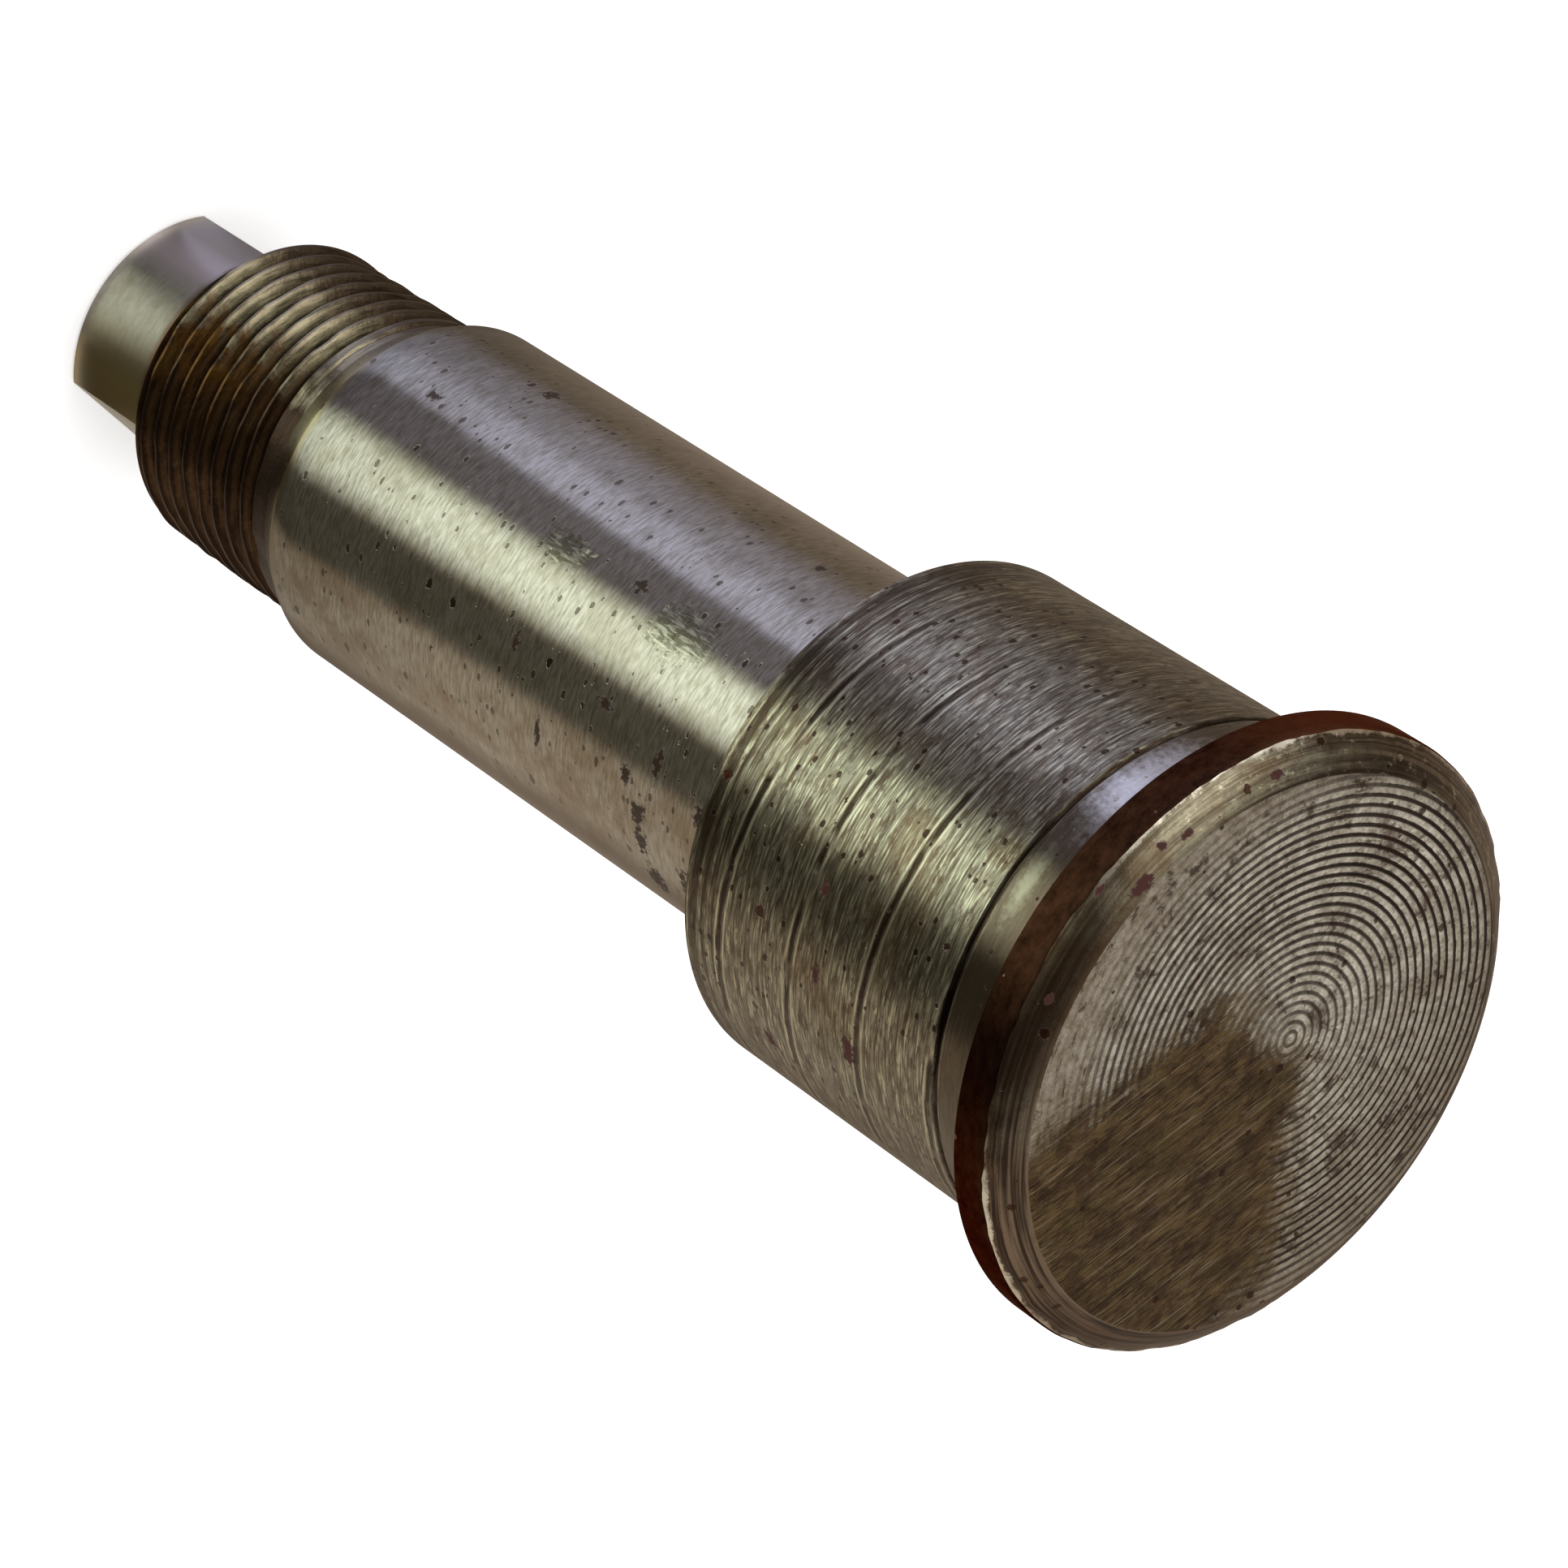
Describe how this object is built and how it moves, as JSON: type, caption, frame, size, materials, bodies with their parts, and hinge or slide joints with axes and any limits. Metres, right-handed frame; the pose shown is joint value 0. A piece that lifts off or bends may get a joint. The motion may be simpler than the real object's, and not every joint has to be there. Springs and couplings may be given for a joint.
{
  "type": "turned shoulder pin",
  "caption": "Turned steel shoulder pin in one piece: flat head on a wide collar, ground shank, fine thread, and dog point with two flats.",
  "frame": {"origin": "centre of the dog point's end face, at the lowest point of the part", "axes": "+Z along the pin's axis from the dog point to the head; +X and -X point straight out of the dog's two flats"},
  "size_m": [0.035, 0.035, 0.0983],
  "materials": {
    "turned_steel": "bare turned steel with an oil film, light rust and dark tool marks"
  },
  "bodies": {
    "root": {"shoulder_pin": "turned_steel"}
  },
  "joints": []
}
